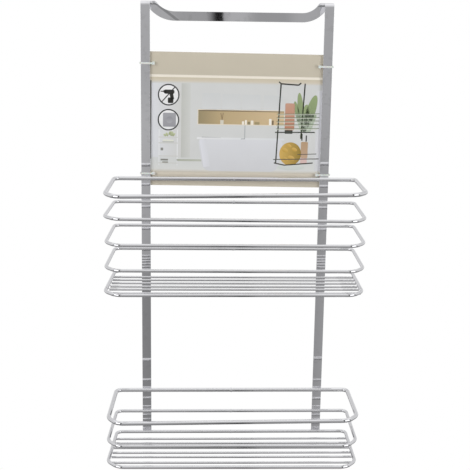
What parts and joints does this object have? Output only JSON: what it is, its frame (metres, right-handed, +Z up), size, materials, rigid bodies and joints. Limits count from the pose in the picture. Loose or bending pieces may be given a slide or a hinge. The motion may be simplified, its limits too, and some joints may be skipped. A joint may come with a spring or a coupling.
{
  "type": "shower caddy",
  "caption": "Two-tier chrome shower caddy that hooks over a shower screen, with a printed card tied between its uprights.",
  "frame": {"origin": "centre of the hook's seat: halfway between the two uprights and between the front and back of the hook, at the underside of the clear pads that rest on the screen's top edge", "axes": "+Z up along the uprights, +X to the right seen from the basket side, -Y towards the baskets, +Y towards the crossbar behind the screen"},
  "size_m": [0.3014, 0.1391, 0.5452],
  "materials": {
    "chrome": "mirror",
    "card": "satin",
    "tie_plastic": "matte",
    "clear_silicone": "satin"
  },
  "bodies": {
    "root": {"frame_strip": "chrome", "upper_rim": "chrome", "upper_ring_1": "chrome", "upper_ring_2": "chrome", "upper_ring_3": "chrome", "upper_floor_ring": "chrome", "upper_floor_wire_1": "chrome", "upper_floor_wire_2": "chrome", "upper_floor_wire_3": "chrome", "upper_floor_wire_4": "chrome", "upper_floor_wire_5": "chrome", "upper_floor_wire_6": "chrome", "lower_rim": "chrome", "lower_ring_1": "chrome", "lower_floor_ring": "chrome", "lower_floor_wire_1": "chrome", "lower_floor_wire_2": "chrome", "lower_floor_wire_3": "chrome", "lower_floor_wire_4": "chrome", "lower_floor_wire_5": "chrome", "lower_floor_wire_6": "chrome", "display_card": "card", "card_tie_top_left": "tie_plastic", "card_tie_top_right": "tie_plastic", "card_tie_bottom_left": "tie_plastic", "card_tie_bottom_right": "tie_plastic", "hook_pad_left": "clear_silicone", "hook_pad_right": "clear_silicone", "rear_bumper_left": "clear_silicone", "rear_bumper_right": "clear_silicone"}
  },
  "joints": []
}
